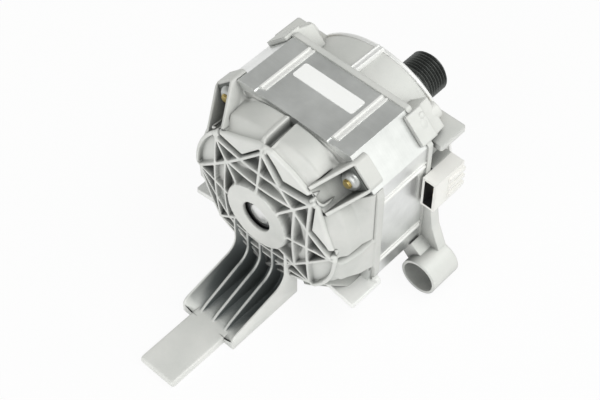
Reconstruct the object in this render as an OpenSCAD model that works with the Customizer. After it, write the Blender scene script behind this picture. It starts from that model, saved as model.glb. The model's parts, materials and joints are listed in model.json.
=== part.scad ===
// Washing machine motor: an eight-sided stator between two cast end shields, with a ribbed pulley.
// Millimetres. Y runs along the shaft towards the pulley and Z is up.
// The origin is on the shaft at the middle of the belt track.

/* [Stator] */
// Lamination stack across its flats
core_across_flats = 120; // [110:1:130]
// Width of each main flat
core_flat_width = 84; // [76:1:90]
// Length of the lamination stack
stack_length = 46; // [40:1:60]
// Bore of the stator
stator_bore = 68; // [64:1:72]
// Number of winding slots
slot_count = 24; // [12:6:30]
// Width of a winding slot
slot_width = 5; // [4:0.5:6]
// Depth of a winding slot behind the tooth tips
slot_depth = 11; // [9:0.5:12]
// Radial height of the tooth tips
tooth_tip = 2.2; // [1.5:0.1:3]
// Opening between two tooth tips
slot_mouth = 2.4; // [1.5:0.1:3]
// Thickness of the slot liner
liner_wall = 0.3; // [0.2:0.05:0.5]
// Liner standing out of the stack at each end
liner_overhang = 1.5; // [0.5:0.5:2]
// Thickness of the slot wedges
wedge_height = 1.4; // [1:0.1:2]
// Axial length of a winding head
winding_head = 12; // [8:0.5:13]
// Gap between the winding heads and the front end shield
winding_clearance = 0.6; // [0.4:0.1:1]
// Sideways place of the cleats on each flat
cleat_offset = 27.5; // [20:0.5:32]
// Width of a cleat
cleat_width = 5; // [4:0.5:8]
// Depth of a cleat in its groove
cleat_depth = 1; // [0.6:0.1:2]
// Bare stack in front of a cleat
cleat_setback = 4.5; // [2:0.5:8]

/* [Rotor] */
// Air gap between rotor and stator
air_gap = 0.4; // [0.3:0.05:0.8]
// Number of rotor bars
bar_count = 30; // [20:2:34]
// Diameter of a rotor bar
bar_diameter = 4; // [3:0.25:4.5]
// Length of a rotor end ring
end_ring = 6; // [4:0.5:7]
// Length of the fan fins on an end ring
fin_length = 4; // [2:0.5:5]
// Number of fan fins on an end ring
fin_count = 12; // [6:1:16]
// Shaft diameter inside the rotor
shaft_diameter = 20; // [18:0.5:22]

/* [Bearings] */
// Bore of the front bearing
front_bore = 15; // [15:1:17]
// Outside diameter of the front bearing
front_outside = 35; // [32:1:36]
// Width of the front bearing
front_width = 11; // [9:1:12]
// Bore of the rear bearing
rear_bore = 17; // [16:1:17]
// Outside diameter of the rear bearing
rear_outside = 40; // [38:1:42]
// Width of the rear bearing
rear_width = 12; // [10:1:13]
// Balls in each bearing
ball_count = 8; // [6:1:8]
// Ball size as a share of the ring section
ball_share = 0.6; // [0.5:0.02:0.62]
// Gap between a ball and its tracks
ball_clearance = 0.08; // [0.05:0.01:0.1]
// Gap between a seal and the inner ring
seal_clearance = 0.35; // [0.3:0.05:0.6]
// Room for the preload washer
washer_room = 1.2; // [0.8:0.1:2]

/* [Front end shield] */
// Depth from the stack to the boss face
front_depth = 32.4; // [30:0.2:36]
// Diameter of the bearing boss
boss_diameter = 46; // [43:1:48]
// Diameter of the hole in the boss
boss_hole = 21; // [18:0.5:24]
// Lip in front of the front bearing
boss_lip = 3; // [2:0.5:4]
// Rim set back from the boss face
rim_setback = 7.4; // [6:0.2:8]
// Depth of the pockets between the star ribs
pocket_depth = 4; // [3:0.5:5]
// Width of the star ribs
star_rib = 2.2; // [1.6:0.1:3]
// Rim set in from the bell radius
rim_inset = 4.2; // [3:0.2:5]
// Thickness of the rim
rim_wall = 2.4; // [2:0.2:3]
// Depth of the cove round the bell
cove_depth = 3.4; // [2:0.2:5]
// Slope of the facets on the rim
facet_slope = 0.62; // [0.5:0.02:0.7]
// Wall of the end shields
shield_wall = 3; // [2.5:0.25:4]
// Half width of a corner lug
lug_half_width = 10; // [8.5:0.5:11]
// Wall of a corner lug
lug_wall = 2.2; // [1.8:0.1:3]
// Collar that laps over the stack at a corner
collar_lap = 8.5; // [5:0.5:10]
// Thickness of the collar
collar_wall = 2.8; // [2:0.2:4]
// Gap between a collar and the stack
collar_clearance = 0.2; // [0.1:0.05:0.5]
// Reach of the ears from the middle
ear_reach = 65; // [63:0.5:70]
// Thickness of the ears
ear_thickness = 4; // [3:0.5:5]
// Height of the front ears below and the rear ears above the shaft
ear_level = 40; // [38:0.5:44]

/* [Arm] */
// Width of the arm bracket
bracket_width = 40; // [36:1:44]
// Front end of the bracket from the stator middle
bracket_end = 99; // [90:1:110]
// Width of the tongue
tongue_width = 27; // [20:1:32]
// Tip of the tongue from the stator middle
tongue_end = 142; // [130:1:160]
// Top of the tongue below the shaft
tongue_drop = 64; // [63:0.5:70]
// Thickness of the tongue
tongue_thickness = 5.8; // [4:0.2:7]
// Number of arm ribs with the two sides
arm_rib_count = 5; // [3:1:7]
// Thickness of an arm rib
arm_rib = 2.4; // [2:0.1:3]
// Thickness of the two arm sides
arm_side_wall = 4.4; // [3:0.2:5]
// Radius of the arm ribs at the bend
arm_bend = 11; // [6:1:14]
// Height of the arm ribs at the tongue
arm_rib_end = 5.5; // [3:0.5:8]

/* [Rear end shield] */
// Depth from the stack to the rear rim
rear_depth = 31; // [30:1:36]
// Hub past the rear rim
hub_length = 18; // [16:0.5:20]
// Diameter of the rear hub
hub_diameter = 50; // [48:1:54]
// Diameter of the hole in the hub
hub_hole = 26; // [25:0.5:28]
// Sideways place of the pivot eye
eye_offset = 73.2; // [72:0.1:76]
// Pivot eye below the shaft
eye_drop = 57.2; // [56:0.1:60]
// Outside diameter of the pivot eye
eye_diameter = 25.2; // [24:0.2:28]
// Bore of the pivot eye
eye_bore = 21.6; // [16:0.2:22]
// Length of the pivot eye
eye_length = 23; // [18:1:30]
// Front of the pivot eye behind the stator middle
eye_front = 9; // [8:0.5:12]

/* [Tie screws] */
// Shank diameter of a tie screw
screw_diameter = 6; // [5:0.5:6]
// Head diameter of a tie screw
screw_head = 9.4; // [9:0.2:10.5]
// Head height of a tie screw
screw_head_height = 3.6; // [3:0.2:5]
// Screw tip standing out of a front boss
screw_tip = 3; // [2:0.5:4]
// Wall of a front boss round its screw
screw_boss_wall = 2.2; // [1.8:0.1:3]
// Radial play of a tie screw in its holes
screw_play = 0.15; // [0.1:0.05:0.3]
// Screw axis inside the corner face of the stack
screw_inset = 6.4; // [6:0.1:7]

/* [Pulley] */
// Middle of the belt track behind the stator middle
belt_middle = 94; // [92:1:110]
// Outside diameter of the pulley
pulley_diameter = 29; // [26:0.5:34]
// Number of belt ribs
rib_count = 8; // [5:1:9]
// Pitch of the belt ribs
rib_pitch = 2.34; // [2.34:0.01:2.5]
// Depth of the belt grooves
rib_depth = 1.9; // [1.5:0.1:2.1]
// Plain land on the motor side of the pulley
pulley_land = 5.5; // [3:0.5:6]
// Shaft diameter in the pulley
pulley_bore = 15; // [14:0.5:16]

/* [Connector and label] */
// Front of the connector behind the stator middle
connector_front = 20; // [18:1:22]
// Length of the connector along the shaft
connector_length = 26; // [24:1:28]
// Depth of the connector off the side of the motor
connector_depth = 9.8; // [9:0.2:12]
// Height of the connector
connector_height = 24; // [22:1:26]
// Middle of the connector above the shaft
connector_level = 7; // [6:1:8]
// Wall of the connector
connector_wall = 1.6; // [1.2:0.1:2]
// Depth of the socket
socket_depth = 12; // [10:1:13]
// Pitch of the contacts
contact_pitch = 5; // [4:0.5:5.5]
// Width of the label
label_width = 44; // [30:1:48]
// Depth of the label along the shaft
label_depth = 11.6; // [8:0.2:16]
// Thickness of the label
label_thickness = 0.3; // [0.2:0.05:0.5]

/* [Hidden] */
half_core = core_across_flats / 2;
half_flat = core_flat_width / 2;
half_stack = stack_length / 2;
corner_reach = (half_core + half_flat) / sqrt(2);
screw_reach = corner_reach - screw_inset;
bore_radius = stator_bore / 2;
slot_start = bore_radius + tooth_tip;
slot_floor = slot_start + slot_depth;
coil_start = slot_start + wedge_height + 0.1;
coil_floor = slot_floor - liner_wall;
coil_zone = (coil_floor - coil_start) / 3;
head_end = half_stack + winding_head;
rotor_radius = bore_radius - air_gap;
bar_reach = rotor_radius - bar_diameter / 2 - 1;
ring_inside = bar_reach - bar_diameter / 2 - 5;
shaft_radius = shaft_diameter / 2;

bell_radius = half_core - 0.4;
boss_radius = boss_diameter / 2;
boss_face = -half_stack - front_depth;
rim_face = boss_face + rim_setback;
pocket_floor = rim_face + pocket_depth;
inside_floor = pocket_floor + 1;
inside_back = -half_stack - 0.5;
shell_floor = pocket_floor + shield_wall;
rim_radius = bell_radius - rim_inset;
cleat_stand = 0.5;
strip_start = half_core + cleat_stand + 0.3;
strip_end = -half_stack + 5.5;
ear_edge = max(ear_reach, strip_start + 1.4);
star_reach = rim_radius - rim_wall;
face_radius = rim_radius - 0.4;
cavity_radius = max(bell_radius - 9, coil_floor + winding_clearance);
lug_reach = corner_reach + collar_clearance + collar_wall;
collar_end = -half_stack + collar_lap;
flange = shield_wall;
washer_start = boss_face + boss_lip;
front_seat = washer_start + washer_room;
front_back = front_seat + front_width;

tongue_bottom = -tongue_drop - tongue_thickness;
arm_root = boss_face + 2;
bend_start = -boss_radius - 16;
under_bell = -half_stack - 9;

rear_rim = half_stack + rear_depth;
rear_floor = rear_rim - 4;
hub_radius = hub_diameter / 2;
hub_start = rear_floor - shield_wall;
hub_end = rear_rim + hub_length;
rear_back = hub_end - boss_lip;
rear_seat = rear_back - rear_width;
rear_lug_end = half_stack + 18;
screw_front = -half_stack - flange - 2;

track_length = rib_count * rib_pitch;
pulley_start = belt_middle - track_length / 2 - pulley_land;
pulley_end = belt_middle + track_length / 2 + 0.9;
pulley_radius = pulley_diameter / 2;
circlip_width = 1.2;

seat_face = half_core + 1.2;
connector_floor = connector_front + socket_depth;
connector_end = connector_front + connector_length;
blade_place = seat_face + connector_depth / 2;
duct_start = connector_floor + connector_wall + 1;
duct_end = connector_end - connector_wall - 1;
wire_place = (duct_start + duct_end) / 2;

// Puts the belt track's middle on the origin.
module placed() {
    translate([0, -belt_middle, 0]) children();
}

// Turns a half section drawn as radius and Y round the shaft.
module revolved() {
    rotate([-90, 0, 0]) rotate_extrude($fn = 120) children();
}

// A round bar along Y.
module rod(radius, from, to) {
    translate([0, from, 0]) rotate([-90, 0, 0]) cylinder(r = radius, h = to - from, $fn = 72);
}

// A section drawn in X and Z, drawn out along Y.
module along_y(from, to) {
    translate([0, to, 0]) rotate([90, 0, 0]) linear_extrude(height = to - from) children();
}

// A section drawn in Y and Z, drawn out along X.
module along_x(from, to) {
    translate([from, 0, 0]) rotate([90, 0, 90]) linear_extrude(height = to - from) children();
}

// Turns a piece on the X axis to an angle round the shaft, counted from X up to Z.
module turned(angle) {
    rotate([0, -angle, 0]) children();
}

module at_corners() {
    for (angle = [45 : 90 : 315]) turned(angle) children();
}

module at_both_sides() {
    children();
    mirror([1, 0, 0]) children();
}

module core_outline(extra) {
    side = half_core + extra;
    flat = half_flat + extra * tan(22.5);
    polygon([[side, -flat], [side, flat], [flat, side], [-flat, side],
        [-side, flat], [-side, -flat], [-flat, -side], [flat, -side]]);
}

module screw_holes(radius, from, to) {
    at_corners() translate([screw_reach, 0, 0]) rod(radius, from, to);
}

// A strip in one slot, by radius and width.
module slot_strip(start, end, width) {
    translate([start, -width / 2]) square([end - start, width]);
}

module each_slot(first, step) {
    for (slot = [first : step : slot_count - 1]) rotate(slot * 360 / slot_count) children();
}

module cleat_grooves() {
    for (turn = [0 : 90 : 270], side = [-1, 1])
        rotate(turn) translate([side * cleat_offset - cleat_width / 2, half_core - cleat_depth])
            square([cleat_width, cleat_depth + 1]);
}

module stator_core() {
    color("#8d8f8c") difference() {
        along_y(-half_stack, half_stack) difference() {
            core_outline(0);
            circle(r = bore_radius, $fn = 120);
            each_slot(0, 1) {
                slot_strip(slot_start, slot_floor, slot_width);
                slot_strip(bore_radius - 2, slot_start + 0.5, slot_mouth);
            }
            cleat_grooves();
        }
        screw_holes(screw_diameter / 2 + screw_play, -half_stack - 1, half_stack + 1);
    }
}

// Each cleat is a strip folded up at both edges.
module stack_cleats() {
    fold = cleat_width / 4;
    color("#c4c5c0") along_y(-half_stack + cleat_setback, half_stack)
        for (turn = [0 : 90 : 270], side = [-1, 1])
            rotate(turn) translate([side * cleat_offset, half_core])
                polygon([[-cleat_width / 2, -cleat_depth], [cleat_width / 2, -cleat_depth],
                    [cleat_width / 2, cleat_stand], [fold, cleat_stand], [fold / 2, -0.2],
                    [-fold / 2, -0.2], [-fold, cleat_stand], [-cleat_width / 2, cleat_stand]]);
}

module slot_liners() {
    color("#e6dfc4") along_y(-half_stack - liner_overhang, half_stack + liner_overhang)
        each_slot(0, 1) difference() {
            slot_strip(slot_start + 0.5, slot_floor, slot_width);
            slot_strip(slot_start, slot_floor - liner_wall, slot_width - 2 * liner_wall);
        }
}

module slot_wedges() {
    color("#b9a070") along_y(-half_stack - 1, half_stack + 1)
        each_slot(0, 1)
            slot_strip(slot_start + 0.5, coil_start - 0.05, slot_width - 2 * liner_wall);
}

// One phase fills every third pair of slots and has a ring of its own at each end.
module phase_winding(phase) {
    start = coil_start + phase * coil_zone;
    end = start + coil_zone - 0.3;
    width = slot_width - 2 * liner_wall;
    neck = half_stack + liner_overhang;
    for (pair = [0, 1]) {
        along_y(-neck, neck) each_slot(2 * phase + pair, 6)
            slot_strip(coil_start, coil_floor, width);
        along_y(-neck - 2, neck + 2) each_slot(2 * phase + pair, 6)
            slot_strip(start, end, width);
    }
    for (side = [-1, 1]) revolved()
        polygon([[start, side * (neck + 1)], [end, side * (neck + 1)], [end, side * (head_end - 1)],
            [end - 1, side * head_end], [start + 1, side * head_end], [start, side * (head_end - 1)]]);
}

module phase_u_winding() {
    color("#a8672f") phase_winding(0);
}

module phase_v_winding() {
    color("#a8672f") phase_winding(1);
}

module phase_w_winding() {
    color("#a8672f") phase_winding(2);
}

module thermal_protector() {
    middle = (coil_start + coil_floor) / 2;
    color("#2b2b2d") translate([-7, -head_end - 3.4, middle - 3.5]) cube([14, 3.4, 7]);
}

module lead_wires() {
    color("#7a2f2a") for (row = [-1 : 1])
        translate([slot_floor - 0.6, wire_place, connector_level + row * contact_pitch])
            rotate([0, 90, 0])
                cylinder(r = 1, h = blade_place - 0.4 - slot_floor + 0.6, $fn = 24);
}

module contact_blades(grow) {
    for (row = [-1 : 1])
        translate([blade_place - 0.4 - grow, connector_front + 5,
            connector_level + row * contact_pitch - 1.25 - grow])
            cube([0.8 + 2 * grow, wire_place + 1 - connector_front - 5, 2.5 + 2 * grow]);
}

module connector_contacts() {
    color("#c9b46a") contact_blades(0);
}

module connector_block(inset, from, to) {
    translate([seat_face + inset, from, connector_level - connector_height / 2 + inset])
        cube([connector_depth - 2 * inset, to - from, connector_height - 2 * inset]);
}

// The socket opens to the front, and the back is open to the motor for the wires.
module connector_housing() {
    ridge = connector_height / 9;
    color("#eceae2") difference() {
        union() {
            connector_block(0, connector_front, connector_end);
            for (row = [-1 : 1])
                translate([seat_face + connector_depth - 0.5, connector_floor,
                    connector_level + row * 2.4 * ridge - ridge / 2])
                    cube([1.9, connector_end - connector_floor, ridge]);
        }
        connector_block(connector_wall, connector_front - 1, connector_floor);
        translate([-connector_wall - 1, 0, 0])
            connector_block(connector_wall, duct_start, duct_end);
        contact_blades(0.05);
    }
}

module square_frame(reach, turn) {
    side = reach * sqrt(2);
    rotate(turn) difference() {
        square(side, center = true);
        square(side - 2 * star_rib, center = true);
    }
}

// Two crossing squares make the eight-pointed star, with a smaller square and spokes inside.
module star_ribs() {
    square_frame(star_reach, 0);
    square_frame(star_reach, 45);
    square_frame(star_reach / sqrt(2) + star_rib, 0);
    for (angle = [0 : 45 : 315]) rotate(angle) translate([0, -star_rib / 2])
        square([star_reach, star_rib]);
    difference() {
        circle(r = star_reach, $fn = 8);
        circle(r = star_reach - star_rib, $fn = 8);
    }
    difference() {
        circle(r = face_radius, $fn = 120);
        circle(r = star_reach - 0.4, $fn = 120);
    }
    intersection() {
        difference() {
            circle(r = face_radius, $fn = 120);
            circle(r = star_reach - star_rib, $fn = 8);
        }
        polygon([[0, 0], [2 * half_core, 0], [2 * half_core, 2 * half_core],
            [-2 * half_core, 2 * half_core]]);
    }
}

// The rib tops lie on a shallow cone from the boss out to the rim.
module star_face() {
    intersection() {
        along_y(boss_face, shell_floor - 1) star_ribs();
        revolved() polygon([[0, shell_floor - 1], [bell_radius, shell_floor - 1],
            [bell_radius, rim_face], [boss_radius, boss_face + 1.2], [0, boss_face + 1.2]]);
    }
}

// Outside of the bell: a flange on the stack, a cove, a rounded shoulder and the rim.
module front_bell() {
    length = front_depth - rim_setback - flange - 2;
    steps = 8;
    cove = [for (step = [0 : steps]) let (part = step / steps)
        [bell_radius - 2.4 * part - cove_depth * sin(180 * part), -half_stack - flange - length * part]];
    revolved() polygon(concat([[0, -half_stack], [bell_radius, -half_stack]], cove,
        [[rim_radius, rim_face], [star_reach, rim_face], [star_reach, pocket_floor],
        [0, pocket_floor]]));
}

module front_cavity() {
    revolved() polygon([[0, -half_stack + 1], [bell_radius - 3.5, -half_stack + 1],
        [bell_radius - 3.5, -half_stack], [cavity_radius, -half_stack - 8],
        [cavity_radius, shell_floor], [0, shell_floor]]);
}

// An open lug: two walls from the rim to the collar, a foot on the stack and a screw boss.
module front_lug() {
    for (side = [-lug_half_width, lug_half_width - lug_wall])
        translate([0, 0, side]) linear_extrude(height = lug_wall)
            polygon([[star_reach - 6, inside_floor], [star_reach, rim_face + 1],
                [rim_radius, rim_face + 1.5], [lug_reach, -half_stack - 1], [lug_reach, collar_end],
                [lug_reach - collar_wall, collar_end], [lug_reach - collar_wall, inside_back],
                [star_reach - 6, inside_back]]);
    translate([lug_reach - collar_wall, -half_stack - 1, -lug_half_width])
        cube([collar_wall, collar_lap + 1, 2 * lug_half_width]);
    translate([star_reach - 6, -half_stack - flange, -lug_half_width])
        cube([lug_reach - star_reach + 6, flange, 2 * lug_half_width]);
    translate([screw_reach, 0, 0]) rod(screw_diameter / 2 + screw_boss_wall, screw_front, inside_back);
}

// A rib on the middle of a flat, from the rim back to the stack.
module bell_rib() {
    translate([0, 0, -1.6]) linear_extrude(height = 3.2)
        polygon([[cavity_radius - 2, inside_floor], [rim_radius, rim_face + 1.5],
            [bell_radius - 1.5, rim_face + 5], [bell_radius + 0.3, inside_back],
            [cavity_radius - 2, inside_back]]);
}

// The raised panel under the side rib.
module side_panel() {
    translate([0, 0, -0.45 * half_core]) linear_extrude(height = 0.45 * half_core)
        polygon([[cavity_radius - 2, inside_floor], [rim_radius - 2, rim_face + 3],
            [bell_radius - 2.2, rim_face + 8], [bell_radius - 0.6, inside_back],
            [cavity_radius - 2, inside_back]]);
}

// A strip that laps over the side of the stack between two collars.
module side_strip() {
    translate([0, 0, -half_flat - 2]) linear_extrude(height = core_flat_width + 4)
        polygon([[half_core - 5, -half_stack - 1.8], [half_core + 2.2, -half_stack - 1.8],
            [half_core + 2.2, strip_end], [strip_start, strip_end],
            [strip_start, inside_back], [half_core - 5, inside_back]]);
}

// A plate that fills the corner between the round bell and the eight-sided stack.
module front_flange() {
    along_y(-half_stack - 2.4, -half_stack - 0.2) intersection() {
        core_outline(-0.4);
        circle(r = half_core + 6, $fn = 120);
    }
}

// A flat ear with a notch that clears the screw tip behind it.
module front_ear() {
    translate([0, 0, -ear_level - ear_thickness]) linear_extrude(height = ear_thickness)
        polygon([[half_core - 25, pocket_floor + 4.5], [half_core - 8, pocket_floor + 2.5],
            [ear_edge - 1, pocket_floor + 1.5], [ear_edge, pocket_floor + 2.5],
            [ear_edge, strip_end], [strip_start, strip_end], [strip_start, inside_back],
            [half_core - 6.5, inside_back], [half_core - 6.5, -half_stack - 10],
            [half_core - 25, -half_stack - 10]]);
}

// What a sloping facet takes off the rim between two points of the star.
module rim_facet(slope) {
    chord = star_reach * cos(22.5);
    half = bell_radius * tan(22.5) + 0.3;
    translate([0, 0, -half]) linear_extrude(height = 2 * half)
        polygon([[chord - 6, rim_face - 6 * slope], [chord - 6, boss_face - 8], [chord + 20, boss_face - 8],
            [chord + 20, rim_face + 20 * slope]]);
}

// Side view of one arm rib: down from the boss, round the bend and out to the tongue.
module arm_side() {
    bend = [for (angle = [0 : -10 : -80])
        [-bend_middle() + arm_bend * cos(angle), bend_start + arm_bend * sin(angle)]];
    polygon(concat([[pocket_floor + 1, -boss_radius + 3], [arm_root, -boss_radius + 3]], bend,
        [[-bracket_end, -tongue_drop + arm_rib_end], [-bracket_end, tongue_bottom],
        [under_bell, tongue_bottom], [under_bell, -bell_radius + 8],
        [pocket_floor + 1, -bell_radius + 8]]));
}

function bend_middle() = arm_bend - arm_root;

module arm() {
    spread = bracket_width / (arm_rib_count - 1);
    for (rib = [1 : arm_rib_count - 2])
        along_x(-bracket_width / 2 + rib * spread - arm_rib / 2, -bracket_width / 2 + rib * spread + arm_rib / 2)
            arm_side();
    for (side = [-bracket_width / 2, bracket_width / 2 - arm_side_wall])
        along_x(side, side + arm_side_wall) arm_side();
    translate([-bracket_width / 2, -bracket_end, tongue_bottom])
        cube([bracket_width, bracket_end + under_bell, tongue_thickness]);
    translate([-bracket_width / 2, rim_face + 1, tongue_bottom])
        cube([bracket_width, pocket_depth, tongue_drop - boss_radius]);
    translate([0, 0, tongue_bottom]) linear_extrude(height = tongue_thickness)
        polygon([[-tongue_width / 2, -bracket_end + 2], [-tongue_width / 2, -tongue_end + 1.5],
            [-tongue_width / 2 + 1.5, -tongue_end], [tongue_width / 2 - 1.5, -tongue_end],
            [tongue_width / 2, -tongue_end + 1.5], [tongue_width / 2, -bracket_end + 2]]);
}

module front_end_shield() {
    color("#c9cac6") difference() {
        union() {
            difference() {
                union() {
                    front_bell();
                    front_flange();
                    at_corners() front_lug();
                    for (angle = [0, 90, 180]) turned(angle) bell_rib();
                    at_both_sides() {
                        side_panel();
                        side_strip();
                        front_ear();
                    }
                    arm();
                }
                front_cavity();
            }
            star_face();
            revolved() polygon([[0, shell_floor + 4], [boss_radius - 3, shell_floor + 4],
                [boss_radius, shell_floor + 2.5], [boss_radius, boss_face + 0.8],
                [boss_radius - 0.8, boss_face], [0, boss_face]]);
        }
        for (angle = [22.5 : 45 : 112.5]) turned(angle) rim_facet(facet_slope);
        rod(front_outside / 2, washer_start, shell_floor + 6);
        rod(boss_hole / 2, boss_face - 1, washer_start + 1);
        screw_holes(screw_diameter / 2 + screw_play, -half_stack - 12, -half_stack + 1);
    }
}

module rear_bell() {
    revolved() polygon([[0, half_stack], [bell_radius, half_stack], [bell_radius, half_stack + 4],
        [bell_radius - 2, half_stack + 7], [bell_radius - 2.6, rear_rim - 1.5],
        [bell_radius - 4, rear_rim], [bell_radius - 9, rear_rim], [bell_radius - 12, rear_floor],
        [0, rear_floor]]);
}

module rear_cavity() {
    revolved() polygon([[0, half_stack - 1], [bell_radius - 3.5, half_stack - 1],
        [bell_radius - 3.5, half_stack], [bell_radius - 6.5, half_stack + 5],
        [bell_radius - 6.5, rear_floor - 6], [bell_radius - 14, rear_floor - shield_wall],
        [0, rear_floor - shield_wall]]);
}

// The lug laps over the stack, takes the screw and slopes off to the rear.
module rear_lug() {
    translate([0, 0, -lug_half_width]) linear_extrude(height = 2 * lug_half_width)
        polygon([[star_reach - 4, half_stack], [lug_reach - collar_wall, half_stack],
            [lug_reach - collar_wall, half_stack - 4], [lug_reach, half_stack - 4],
            [lug_reach, half_stack + 8.4], [lug_reach - 1.5, half_stack + 8.4],
            [lug_reach - 4, rear_lug_end], [star_reach - 4, rear_lug_end]]);
}

module rear_rib() {
    translate([0, 0, -1.6]) linear_extrude(height = 3.2)
        polygon([[bell_radius - 5, half_stack + 3], [bell_radius + 0.4, half_stack + 3],
            [bell_radius - 0.2, rear_rim - 2], [bell_radius - 4, rear_rim - 0.5],
            [bell_radius - 5, rear_rim - 0.5]]);
}

// A gusset from the hub out to the rear rim.
module hub_rib() {
    translate([0, 0, -1.4]) linear_extrude(height = 2.8)
        polygon([[hub_radius - 2, rear_floor - 1], [hub_radius - 2, hub_end - 4],
            [hub_radius + 1, hub_end - 4], [bell_radius - 9, rear_rim - 0.5],
            [bell_radius - 9, rear_floor - 1]]);
}

module rear_ear() {
    translate([0, 0, ear_level - ear_thickness]) linear_extrude(height = ear_thickness)
        polygon([[half_core - 20, half_stack + 7], [ear_edge - 1, half_stack + 7],
            [ear_edge, half_stack + 8], [ear_edge, rear_rim - 3], [ear_edge - 1, rear_rim - 2],
            [half_core - 20, rear_rim - 2]]);
}

// The web carries the pivot eye beside the stack.
module eye_web() {
    along_y(half_stack + 2, eye_front + eye_length) polygon([[half_core - 3, -6], [half_core + 5, -8],
        [half_core + 8, -28], [eye_offset + 4, -eye_drop + 7], [eye_offset - 7, -eye_drop - 5],
        [half_core - 6, -half_flat - 4]]);
    along_y(eye_front + 6, eye_front + eye_length - 1) polygon([[half_core + 1, -half_flat + 2],
        [eye_offset + 3, -eye_drop + 7], [eye_offset - 8, -eye_drop - 3],
        [half_core - 5, -half_flat - 8]]);
}

module connector_seat() {
    translate([half_core - 14, connector_floor - 3, connector_level - connector_height / 2])
        cube([seat_face - half_core + 14, connector_end - connector_floor + 3, connector_height]);
}

module rear_end_shield() {
    color("#cdceca") difference() {
        union() {
            difference() {
                union() {
                    rear_bell();
                    along_y(half_stack, half_stack + 4) core_outline(1);
                    at_corners() rear_lug();
                    for (angle = [0 : 90 : 270]) turned(angle) rear_rib();
                    at_both_sides() rear_ear();
                    connector_seat();
                    eye_web();
                    translate([eye_offset, 0, -eye_drop])
                        rod(eye_diameter / 2, eye_front, eye_front + eye_length);
                }
                rear_cavity();
            }
            for (angle = [0 : 45 : 315]) turned(angle) hub_rib();
            revolved() polygon([[0, hub_start], [hub_radius, hub_start],
                [hub_radius, hub_end - 0.8], [hub_radius - 0.8, hub_end], [0, hub_end]]);
        }
        rod(rear_outside / 2, hub_start - 1, rear_back);
        rod(hub_hole / 2, rear_back - 1, hub_end + 1);
        screw_holes(screw_diameter / 2 + screw_play, half_stack - 1, rear_lug_end + 1);
        translate([eye_offset, 0, -eye_drop]) rod(eye_bore / 2, eye_front - 1, eye_front + eye_length + 1);
        translate([half_core - 20, duct_start, connector_level - connector_height / 2 + 5])
            cube([24, duct_end - duct_start, connector_height - 10]);
        at_corners() translate([lug_reach - 1, half_stack + 4.5, 0]) rotate([0, 90, 0])
            cylinder(r = 2, h = 3, $fn = 24);
    }
}

module cross_recess() {
    for (turn = [0, 90]) rotate([0, turn, 0]) translate([-2.4, -1, -0.6]) cube([4.8, 3, 1.2]);
}

// The heads sit on the rear lugs and the tips stand out of the front bosses.
module tie_screws() {
    tip = screw_front - screw_tip;
    head_top = rear_lug_end + screw_head_height;
    color("#b79a4b") at_corners() translate([screw_reach, 0, 0]) difference() {
        union() {
            rod(screw_diameter / 2 - 0.6, tip, tip + 2);
            rod(screw_diameter / 2, tip + 0.8, rear_lug_end + 1);
            rod(screw_head / 2, rear_lug_end, head_top);
        }
        translate([0, head_top - 1, 0]) cross_recess();
    }
}

module rating_label() {
    color("#f4f4f0") translate([-label_width / 2 - 1.5, 1, half_core])
        cube([label_width, label_depth, label_thickness]);
}

// Ball bearing parts, by bore, outside, width and front face.
function ring_height(bore, outside) = (outside - bore) / 2;
function ball_radius(bore, outside) = ring_height(bore, outside) * ball_share / 2;
function pitch_radius(bore, outside) = (outside + bore) / 4;

module ball_track(bore, outside, width) {
    translate([pitch_radius(bore, outside), width / 2])
        circle(r = ball_radius(bore, outside) + ball_clearance, $fn = 48);
}

module outer_ring(bore, outside, width, front) {
    wall = ring_height(bore, outside) * 0.27;
    translate([0, front, 0]) revolved() difference() {
        translate([outside / 2 - wall, 0]) square([wall, width]);
        ball_track(bore, outside, width);
    }
}

module inner_ring(bore, outside, width, front) {
    wall = ring_height(bore, outside) * 0.27;
    translate([0, front, 0]) revolved() difference() {
        translate([bore / 2, 0]) square([wall, width]);
        ball_track(bore, outside, width);
    }
}

module balls(bore, outside, width, front) {
    for (ball = [0 : ball_count - 1]) turned(ball * 360 / ball_count)
        translate([pitch_radius(bore, outside), front + width / 2, 0])
            sphere(r = ball_radius(bore, outside), $fn = 48);
}

// A ring with a square window round each ball.
module ball_cage(bore, outside, width, front) {
    height = ring_height(bore, outside);
    middle = pitch_radius(bore, outside);
    window = 2 * ball_radius(bore, outside) + 0.2;
    translate([0, front + width / 2, 0]) difference() {
        revolved() translate([middle - height * 0.09, -width * 0.36])
            square([height * 0.18, width * 0.72]);
        for (ball = [0 : ball_count - 1]) turned(ball * 360 / ball_count)
            translate([middle - height / 4, -window / 2, -window / 2])
                cube([height / 2, window, window]);
    }
}

module seals(bore, outside, width, front) {
    wall = ring_height(bore, outside) * 0.27;
    inside = bore / 2 + wall + seal_clearance;
    for (side = [front + 0.3, front + width - 1.1]) translate([0, side, 0]) revolved()
        translate([inside, 0]) square([outside / 2 - wall - inside, 0.8]);
}

module front_outer_ring() {
    color("#9fa3a6") outer_ring(front_bore, front_outside, front_width, front_seat);
}

module front_inner_ring() {
    color("#9fa3a6") inner_ring(front_bore, front_outside, front_width, front_seat);
}

module front_balls() {
    color("#c8cbce") balls(front_bore, front_outside, front_width, front_seat);
}

module front_ball_cage() {
    color("#a89a6a") ball_cage(front_bore, front_outside, front_width, front_seat);
}

module front_seals() {
    color("#2a2a2c") seals(front_bore, front_outside, front_width, front_seat);
}

module rear_outer_ring() {
    color("#9fa3a6") outer_ring(rear_bore, rear_outside, rear_width, rear_seat);
}

module rear_inner_ring() {
    color("#9fa3a6") inner_ring(rear_bore, rear_outside, rear_width, rear_seat);
}

module rear_balls() {
    color("#c8cbce") balls(rear_bore, rear_outside, rear_width, rear_seat);
}

module rear_ball_cage() {
    color("#a89a6a") ball_cage(rear_bore, rear_outside, rear_width, rear_seat);
}

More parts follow.
